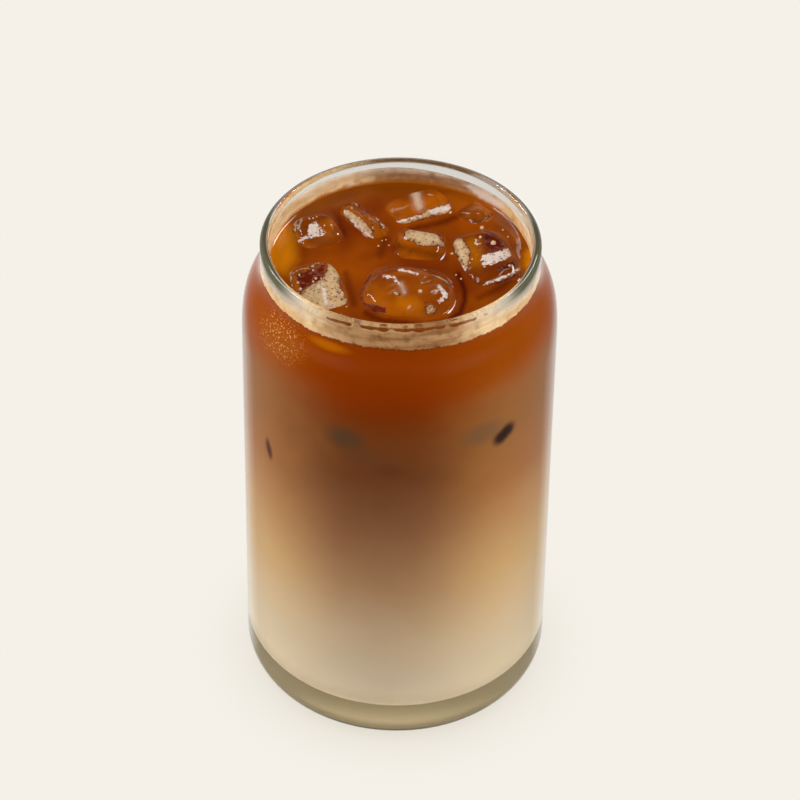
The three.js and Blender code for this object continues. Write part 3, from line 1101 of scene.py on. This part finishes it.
def drawn_with_noise(kind, coarse, fine):
    """A stored mark times 1 + coarse and fine noise, so that only the marks themselves are broken up."""
    uneven = maths(tree, "MULTIPLY_ADD", crumbs, coarse, 1.0 - 0.5 * coarse)
    uneven = maths(tree, "MULTIPLY_ADD", grit, fine, maths(tree, "ADD", uneven, -0.5 * fine))
    return smooth_range(tree, maths(tree, "MULTIPLY", attribute(tree, kind), uneven), 0.2, 0.8)


frosted = drawn_with_noise("frost", 1.6, 0.5)
# The shining marks are painted highlights, stripes of reflected light painted on.
painted_shine = drawn_with_noise("painted_gleam", 2.2, 0.9)
dark = drawn_with_noise("dark", 2.0, 0.35)
haze = attribute(tree, "haze")
opaque = maths(tree, "MAXIMUM", maths(tree, "MAXIMUM", frosted, painted_shine), haze)
see_nothing = maths(tree, "MAXIMUM", opaque, smooth_range(tree, dark, 0.6, 1.0, 0.0, 0.6))
print("ice reads frost, gleam, dark and haze")

# %% Colours of the ice
CLEAR = (1, 1, 1, 1)
# Painted shade: the tint of the dark marks, standing for the dark coffee that an inside edge shows.
PAINTED_SHADE_TINT = (0.13, 0.014, 0.003, 1)
SHOWS_FROM = 0.15  # the strength of a mark from which only its own colour counts
core = smooth_range(tree, maths(tree, "MULTIPLY_ADD", crumbs, 1.0, attribute(tree, "core")), 0.9, 1.6)
tan = blend(tree, core, paint(130, 78, 34), paint(198, 166, 122))
tan = blend(tree, maths(tree, "MULTIPLY", grit, 0.25), tan, paint(228, 204, 166))
tan = blend(tree, maths(tree, "MULTIPLY", speck, 0.6), tan, paint(96, 50, 18))
tan = blend(tree, smooth_range(tree, frosted, 0.3, 1.0), paint(92, 44, 12), tan)
painted_highlight_colour = blend(tree, crumbs, paint(168, 132, 104), paint(244, 234, 226))
ice_colour = blend(tree, dark, CLEAR, PAINTED_SHADE_TINT)
for shown, mark_colour in ((haze, paint(204, 176, 146)), (frosted, tan), (painted_shine, painted_highlight_colour)):
    ice_colour = blend(tree, smooth_range(tree, shown, 0.0, SHOWS_FROM), ice_colour, mark_colour)
print("ice coloured")

# %% Surface of the ice
DIMPLE_SCALE = 260
dimple_inputs = {
    "Height": noise(tree, DIMPLE_SCALE, 1, 0.4, place=place),
    "Distance": 0.8 * MM,
    "Strength": 0.5,
}
dimples = add_node(tree, "ShaderNodeBump", dimple_inputs)
rough_inputs = {
    "Height": crumbs,
    "Distance": 0.3 * MM,
    "Strength": maths(tree, "MULTIPLY", opaque, 0.7),
    "Normal": dimples.outputs[0],
}
ice_inputs = {
    "Base Color": ice_colour,
    "Roughness": maths(tree, "MULTIPLY_ADD", opaque, 0.3, 0.02),
    "IOR": ICE_BENDS,
    "Transmission Weight": maths(tree, "MULTIPLY_ADD", see_nothing, -0.9, 1.0),
    "Normal": add_node(tree, "ShaderNodeBump", rough_inputs).outputs[0],
}
ICE_SHADOW = (0.93, 0.92, 0.9, 1)
end_network(tree, output, ice_inputs, ICE_SHADOW)
for block in ice_pieces.values():
    block.data.materials.append(wet_ice)
print("ice bends light by", ICE_BENDS)

# %% [markdown]
# ## Froth on the neck
#
# When the drink was stirred it wet the neck and left a film of tan froth above the liquid, with a
# ragged lower edge where it meets the coffee. The film is a closed ring: each column runs up the glass
# side and down the air side, its ends wander with slow waves, and its outer face reaches just into the
# glass. It stands highest at the back left, rises a little at both sides of the front, and is thin
# and soaked at the back.

# %% Lower and upper end of the froth
FILM_COLUMNS = 720
FILM_LOW = 125.3 * MM
FILM_HIGH = 130.6 * MM
TALLEST_AT = math.radians(130)  # the heading from +X where the film stands highest
TALLEST_RISE = 1.1 * MM
FRONT_SIDES_RISE = 0.6 * MM
BACK_DROP = 0.7 * MM
LOWER_WAVES = [3, 7, 17, 41, 77, 113, 157, 211]  # how often each wave goes round
LOWER_WAVE_SIZE = 0.24 * MM
UPPER_WAVES = [2, 5, 9]
UPPER_WAVE_SIZE = 0.15 * MM
UPPER_RIPPLES = [21, 47, 73]
UPPER_RIPPLE_SIZE = 0.2 * MM


def waves(angle, seed, counts, size):
    """Closed random outline: sines that fit a whole number of times round, with seeded phases."""
    draw = np.random.default_rng(seed)
    phase = draw.uniform(0, 2 * np.pi, len(counts))
    weight = draw.uniform(0.4, 1, len(counts)) / np.sqrt(np.arange(1, len(counts) + 1))
    return size * (weight[:, None] * np.sin(np.array(counts)[:, None] * angle + phase[:, None])).sum(axis=0)


around = np.arange(FILM_COLUMNS) * (2 * np.pi / FILM_COLUMNS)
at_front = -np.sin(around)
at_back = smooth_step(-at_front, 0.0, 0.8)
front_sides = smooth_step(at_front, 0.1, 0.5) * smooth_step(np.abs(np.cos(around)), 0.45, 0.75)
film_low = FILM_LOW + waves(around, 3, LOWER_WAVES, LOWER_WAVE_SIZE)
film_high = FILM_HIGH - BACK_DROP * at_back + waves(around, 4, UPPER_WAVES, UPPER_WAVE_SIZE)
film_high += (1 - at_back) * waves(around, 6, UPPER_RIPPLES, UPPER_RIPPLE_SIZE)
film_high += TALLEST_RISE * smooth_step(np.cos(around - TALLEST_AT), 0.2, 0.9)
film_high += FRONT_SIDES_RISE * front_sides
print("froth up to", round(float(film_high.max()) / MM, 2), "mm, rim at", GLASS_HEIGHT / MM, "mm")

# %% Froth film
FILM_ROWS = 14
FILM_INTO_GLASS = 0.36 * MM
FILM_THICKNESS = 0.2 * MM
up = np.linspace(0, 1, FILM_ROWS)[:, None]
climb = film_low + (film_high - film_low) * up
glass_side = inner_radius(climb) + FILM_INTO_GLASS
air_side = inner_radius(climb[::-1]) - FILM_THICKNESS * np.sin(np.pi * up) ** 0.5
film_radius = np.vstack([glass_side, air_side])
film_height = np.vstack([climb, climb[::-1]])
film = make_piece(
    "froth_film",
    ring_points(film_radius, film_height),
    ring_faces(2 * FILM_ROWS, FILM_COLUMNS, rows_close=True).tolist(),
)
print("froth film:", len(film.data.polygons), "faces")

# %% Thin, soaked and dusky places of the froth, and its painted highlights
THINS_BETWEEN = (127.5 * MM, 130.6 * MM)
THINNER_AT_BACK = 0.05
THINNER_AT_TOP = 0.45
SOAKED_BETWEEN = (126.0 * MM, 128.6 * MM)
# Painted highlights on the froth: stripes of reflected light painted on.
FILM_PAINTED_GLEAM = [
    (0, 0.8, [(464, 185), (472, 185), (488, 193), (502, 203), (505, 208), (496, 206), (480, 198),
              (470, 189)]),
    (1.0, 0.5, [(301, 195), (322, 180), (373, 166)]),
]
FILM_PAINTED_GLEAM_FADE = 2.0
thinning = smooth_step(film_height, *THINS_BETWEEN)
dusky_in_front = smooth_step(at_front, 0.75, 0.97)
dusky_at_back = smooth_step(0.25 * np.cos(around) - at_front, 0.8, 1.0)
tone = np.broadcast_to(np.maximum(dusky_in_front, dusky_at_back), film_height.shape)
seen_at = to_pixels(ring_points(film_radius, film_height))
store(film, "cover", (1 - at_back * (THINNER_AT_BACK + THINNER_AT_TOP * thinning)).ravel())
store(film, "soaked", (at_back * (1 - smooth_step(film_height, *SOAKED_BETWEEN))).ravel())
store(film, "tone", tone.ravel())
store(film, "painted_gleam", marks(seen_at, FILM_PAINTED_GLEAM, FILM_PAINTED_GLEAM_FADE))
print("froth is dusky on", int((tone > 0.5).sum()), "points")

# %% [markdown]
# ## Froth's finish
#
# Froth on glass is matt and cream-coloured, and duskier right in front and at the back. It has pits
# where bubbles burst, and level streaks that the falling edge of the drink left. The streaks are noise
# squeezed along the height. Where the film gets thin, alpha lets the glass show through.

# %% Froth material
GRAIN_SCALE = 420
STREAK_SCALE = 80
STREAK_SQUEEZE = (1, 1, 7)
froth, tree, output = new_material("tan_froth")
place = object_place(tree)
grain = noise(tree, GRAIN_SCALE, 3, 0.6, place=place)
squeezed = add_node(tree, "ShaderNodeMapping", {"Vector": place, "Scale": STREAK_SQUEEZE}).outputs[0]
streaks = smooth_range(tree, noise(tree, STREAK_SCALE, 3, 0.6, place=squeezed), 0.35, 0.65)
tone = attribute(tree, "tone")
cream = blend(tree, streaks, paint(220, 182, 130), paint(240, 212, 170))
dusky = blend(tree, streaks, paint(154, 108, 68), paint(188, 144, 100))
pits = blend(tree, tone, paint(188, 140, 90), paint(108, 66, 34))
soaked = smooth_range(tree, maths(tree, "MULTIPLY_ADD", grain, 0.8, attribute(tree, "soaked")), 0.5, 1.3)
froth_colour = blend(tree, tone, cream, dusky)
froth_colour = blend(tree, smooth_range(tree, grain, 0.42, 0.75, 0.0, 0.7), froth_colour, pits)
froth_colour = blend(tree, soaked, froth_colour, paint(172, 96, 20))
# Painted highlight on the froth.
froth_colour = blend(tree, attribute(tree, "painted_gleam"), froth_colour, paint(226, 208, 196))
cover = maths(tree, "MULTIPLY_ADD", grain, 0.3, attribute(tree, "cover"))
froth_bump = add_node(tree, "ShaderNodeBump", {"Height": grain, "Distance": 0.1 * MM, "Strength": 0.4})
froth_inputs = {
    "Base Color": froth_colour,
    "Roughness": 0.4,
    "Specular IOR Level": 0.2,
    "Alpha": smooth_range(tree, cover, 0.1, 1.2),
    "Normal": froth_bump.outputs[0],
}
end_network(tree, output, froth_inputs)
film.data.materials.append(froth)
print("froth painted")

# %% [markdown]
# ## Bubbles
#
# Small bubbles sit on the ice and on the coffee, and a row of them hangs on the froth's edge at the
# back left. Each is a ball of few faces, and all of them are one mesh, made by adding a unit ball's
# points to every bubble's place in a single sum of arrays. A bubble is listed by where it shows, and
# sits on the highest surface that shows there.

# %% Where the bubbles show
BUBBLES = [
    # across, down (pixels), radius (mm)
    (308, 218, 0.3), (314, 217.5, 0.25), (318, 216.5, 0.25), (332.6, 225, 0.3), (324.5, 227, 0.25),
    (345.7, 213, 0.35), (352.6, 207, 0.3), (378.5, 246, 0.3), (386, 240, 0.25), (389, 245.5, 0.25),
    (405.4, 238, 0.35), (452, 254, 0.42), (421, 292, 0.55), (481, 236, 0.4), (492, 242.6, 0.75),
    (503, 230, 0.3), (508, 237, 0.3), (475, 241, 0.3), (526, 237, 0.5), (509.6, 267, 0.4),
    (493, 206.5, 0.55), (500.5, 211, 0.3), (470.6, 259.6, 0.25), (469, 264, 0.25), (484, 268, 0.3),
    (356, 188, 0.35), (360, 187, 0.3), (364, 186, 0.3), (312, 270, 0.3), (314.6, 278, 0.4),
    (312, 282, 0.3), (320, 279, 0.25), (298.5, 274, 0.3), (297, 282, 0.45), (299, 289, 0.45),
    (332, 307, 0.4), (341, 315, 0.3), (337, 315, 0.3), (346.5, 307, 0.3), (461, 279, 0.3),
    (456, 275, 0.25), (482, 228, 0.6), (321, 286, 0.5), (382, 241, 0.25), (318, 306, 0.25),
]
FROTH_LINE = np.array([(323, 196.5), (335, 192.5), (345, 190.5), (354, 188.5)])
FROTH_BEADS = 26
BEAD_SIZE = 0.38  # mm
BEAD_SIZE_VARIES = 0.08
BEADS_WANDER = 0.5  # pixels
bead_across = np.linspace(FROTH_LINE[0, 0], FROTH_LINE[-1, 0], FROTH_BEADS)
bead_down = np.interp(bead_across, FROTH_LINE[:, 0], FROTH_LINE[:, 1])
bead_down += BEADS_WANDER * ragged_edge(np.column_stack([bead_across * 3, bead_down]))
bead_size = BEAD_SIZE + BEAD_SIZE_VARIES * np.sin(5 * bead_across)
spots = np.vstack([BUBBLES, np.column_stack([bead_across, bead_down, bead_size])])
print(len(spots), "bubbles listed")

# %% Where the bubbles are
NEAR_PIXELS = 1.5  # a point of the ice that shows this near to a bubble may carry it
across = spots[:, :1] - PICTURE / 2
down = spots[:, 1:2] - PICTURE / 2
ray = across * camera_right - down * camera_up - FOCAL_PIXELS * backwards
steps_to_level = (DRINK_LEVEL - camera_place[2]) / ray[:, 2:]
bubble_places = camera_place + steps_to_level * ray
ice_points = np.vstack([points for points, _, _ in ice.values()])
ice_points = ice_points[ice_points[:, 2] > DRINK_LEVEL]
pixel_gap = np.linalg.norm(to_pixels(ice_points)[None] - spots[:, None, :2], axis=-1)
height_if_near = np.where(pixel_gap < NEAR_PIXELS, ice_points[None, :, 2], 0)
on_ice = height_if_near.max(axis=1) > 0
bubble_places[on_ice] = ice_points[height_if_near.argmax(axis=1)[on_ice]]
print(int(on_ice.sum()), "bubbles are on ice")

# %% Bubble mesh
BUBBLE_RINGS = 5
BUBBLE_SIDES = 8
tilt = np.repeat(np.linspace(0, np.pi, BUBBLE_RINGS + 2)[1:-1, None], BUBBLE_SIDES, axis=1)
ball = np.vstack([ring_points(np.sin(tilt), -np.cos(tilt)), [[0, 0, -1], [0, 0, 1]]])
bubble_points = (bubble_places[:, None, :] + spots[:, None, 2:] * MM * ball).reshape(-1, 3)
offsets = np.arange(len(spots))[:, None, None] * len(ball)
bubble_faces = []
for ball_faces in closed_rings(BUBBLE_RINGS, BUBBLE_SIDES):
    bubble_faces += (ball_faces + offsets).reshape(-1, ball_faces.shape[1]).tolist()
bubbles = make_piece("bubbles", bubble_points, bubble_faces)
print("bubbles:", len(bubble_faces), "faces")

# %% Bubble material
BUBBLE_RIM_WIDTH = 0.35
bubble_skin, tree, output = new_material("bubble_skin")
# The dark rim, where a bubble's side turns away from the viewer, is painted shade.
facing = add_node(tree, "ShaderNodeLayerWeight", {"Blend": BUBBLE_RIM_WIDTH}).outputs["Facing"]
bubble_colour = blend(tree, facing, paint(226, 190, 154), paint(104, 48, 18))
bubble_inputs = {"Base Color": bubble_colour, "Roughness": 0.15, "IOR": 1.33, "Transmission Weight": 0.15}
end_network(tree, output, bubble_inputs)
bubbles.data.materials.append(bubble_skin)
print("bubbles have dark rims")

# %% [markdown]
# ## Studio floor
#
# The drink stands on a plain pale floor. It glows in the backdrop's colour and darkens only round the foot,
# with a painted contact shadow worked out by ambient occlusion, so that floor and backdrop are one even tone.
# Only the camera sees it, because a bright floor seen through the base of the glass would wash it out.

# %% Floor
FLOOR_SIZE = 6.0
BACKDROP = paint(245, 241, 232)
CONTACT_REACH = 20 * MM
CONTACT_SHADE = paint(226, 219, 206)
half = FLOOR_SIZE / 2
below = -0.02 * MM
floor_points = [(-half, -half, below), (half, -half, below), (half, half, below), (-half, half, below)]
floor_mesh = bpy.data.meshes.new("floor")
floor_mesh.from_pydata(floor_points, [], [(0, 1, 2, 3)])
floor = bpy.data.objects.new("floor", floor_mesh)
bpy.context.scene.collection.objects.link(floor)
floor.visible_diffuse = False
floor.visible_glossy = False
floor.visible_transmission = False
floor.visible_shadow = False
floor_paint, tree, output = new_material("pale_floor")
# A painted contact shadow: ambient occlusion darkens the glowing floor round the foot.
contact = add_node(tree, "ShaderNodeAmbientOcclusion", {"Distance": CONTACT_REACH}, samples=8)
floor_colour = blend(tree, smooth_range(tree, contact.outputs["AO"], 0.0, 1.0), CONTACT_SHADE, BACKDROP)
plain = add_node(tree, "ShaderNodeEmission", {"Color": floor_colour, "Strength": 1.0})
tree.links.new(plain.outputs[0], output.inputs["Surface"])
floor_mesh.materials.append(floor_paint)
print("floor", FLOOR_SIZE, "m wide")

# %% [markdown]
# ## World
#
# Glass shows what stands round it: here pale surroundings behind the glass, dark ones towards the
# viewer, and dark overhead, where a bright panel would lie as a white sheet on the coffee. The world
# gives them by direction: table, horizon and overhead, and for the first two a ramp round the glass
# from front to back. The camera itself sees only the plain backdrop.

# %% World
ON_THE_TABLE = [(0.0, 0.01), (0.04, 0.02), (0.17, 0.05), (0.4, 0.15), (0.85, 0.28), (0.95, 0.75)]
AT_THE_HORIZON = [(0.0, 0.01), (0.5, 0.02), (0.8, 0.15), (0.93, 0.6)]
STRAIGHT_DOWN = (0.2, 0.18, 0.15, 1)
OVERHEAD = (0.05, 0.045, 0.04, 1)
OVERHEAD_SIDES = (0.3, 0.29, 0.28, 1)
# Between these shares of up in a direction, one part of the surroundings goes over into the next.
DOWN_TO_TABLE = (-0.97, -0.8)
TABLE_TO_HORIZON = (-0.5, -0.15)
HORIZON_TO_OVERHEAD = (0.05, 0.35)
MIDDLE_TO_SIDES = (0.3, 0.9)  # the share of sideways, overhead


def warm_greys(steps):
    """Stops of slightly warm grey from pairs of position and brightness."""
    return [(at, (value, value * 0.98, value * 0.94, 1)) for at, value in steps]


world = bpy.data.worlds.new("studio")
bpy.context.scene.world = world
world.use_nodes = True
tree = world.node_tree
tree.nodes.clear()
direction = add_node(tree, "ShaderNodeTexCoord").outputs["Generated"]
towards = add_node(tree, "ShaderNodeSeparateXYZ", {0: direction})
level = vector_maths(tree, "NORMALIZE", vector_maths(tree, "MULTIPLY", direction, (1, 1, 0)))
to_back = add_node(tree, "ShaderNodeSeparateXYZ", {0: level}).outputs["Y"]
round_the_glass = maths(tree, "MULTIPLY_ADD", to_back, 0.5, 0.5)
upward = towards.outputs["Z"]
table = colour_ramp(tree, round_the_glass, warm_greys(ON_THE_TABLE))
table = blend(tree, smooth_range(tree, upward, *DOWN_TO_TABLE), STRAIGHT_DOWN, table)
horizon = colour_ramp(tree, round_the_glass, warm_greys(AT_THE_HORIZON))
sideways = maths(tree, "ABSOLUTE", towards.outputs["X"])
overhead = blend(tree, smooth_range(tree, sideways, *MIDDLE_TO_SIDES), OVERHEAD, OVERHEAD_SIDES)
above_table = blend(tree, smooth_range(tree, upward, *HORIZON_TO_OVERHEAD), horizon, overhead)
environment = blend(tree, smooth_range(tree, upward, *TABLE_TO_HORIZON), table, above_table)
path = add_node(tree, "ShaderNodeLightPath")
seen = blend(tree, path.outputs["Is Camera Ray"], environment, BACKDROP)
sky = add_node(tree, "ShaderNodeBackground", {"Color": seen, "Strength": 1.0})
output = add_node(tree, "ShaderNodeOutputWorld")
tree.links.new(sky.outputs[0], output.inputs["Surface"])
print("world has", len(tree.nodes), "nodes")

# %% [markdown]
# ## Lights
#
# Two tall white panels at the sides and a soft one from the front light the drink, and light that comes
# back from the table lights its underside, which the base of the glass shows. Two small windows behind
# leave the glints on the coffee and the ice, and the other lamps leave no reflection. Those lamps do
# without multiple importance sampling, because paths that look for them through the glass never find
# them: the light that such paths stand for would be lost, and a step would show on the drink.

# %% Lights
UPRIGHT = 0.99  # a panel that faces so nearly up or down has no level edge of its own


def panel(name, place, aim, width, height, watts, mirrored=True):
    """A soft panel at a place that faces a point. A panel that isn't mirrored leaves no reflection."""
    light = bpy.data.lights.new(name, "AREA")
    light.shape = "RECTANGLE"
    light.size = width
    light.size_y = height
    light.energy = watts
    light.cycles.use_multiple_importance_sampling = mirrored
    lamp = bpy.data.objects.new(name, light)
    bpy.context.scene.collection.objects.link(lamp)
    back = np.array(place, float) - np.array(aim, float)
    back /= np.linalg.norm(back)
    right = np.cross([0, 0, 1], back) if abs(back[2]) < UPRIGHT else np.array([1.0, 0, 0])
    right /= np.linalg.norm(right)
    stand(lamp, right, np.cross(back, right), back, place)
    lamp.visible_camera = False
    lamp.visible_glossy = mirrored
    lamp.visible_transmission = mirrored


MIDDLE = (0, 0, 0.07)
RIM = (0, 0, 0.13)
FOOT = (0, 0, 0)
# name, place, the point it faces, width and height in metres, watts
panel("left_panel", (-0.8, -0.08, 0.3), MIDDLE, 0.5, 0.7, 7.4, mirrored=False)
panel("right_panel", (0.75, -0.28, 0.3), MIDDLE, 0.5, 0.7, 6.4, mirrored=False)
panel("front_fill", (0.0, -0.9, 0.8), MIDDLE, 0.9, 0.6, 6.8, mirrored=False)
panel("left_window", (-0.42, 0.42, 0.75), RIM, 0.12, 0.3, 2.0)
panel("right_window", (0.3, 0.55, 0.72), RIM, 0.07, 0.25, 1.5)
panel("table_bounce", (0, -0.02, -0.2), FOOT, 0.3, 0.3, 0.66, mirrored=False)
print("six panels")

# %% [markdown]
# ## Rendering choices
#
# The colours above are given as a screen shows them, so the plain Standard view keeps them. Glass in
# glass needs enough bounces for light to cross every wall, and the denoiser takes out the last grain.

# %% Colour management and bounces
scene = bpy.context.scene
scene.view_settings.view_transform = "Standard"
scene.view_settings.look = "None"
scene.cycles.use_denoising = True
scene.cycles.max_bounces = 16
scene.cycles.transmission_bounces = 14
scene.cycles.glossy_bounces = 6
scene.cycles.diffuse_bounces = 4
scene.cycles.transparent_max_bounces = 24
scene.cycles.sample_clamp_indirect = 4.0
print("view transform:", scene.view_settings.view_transform)
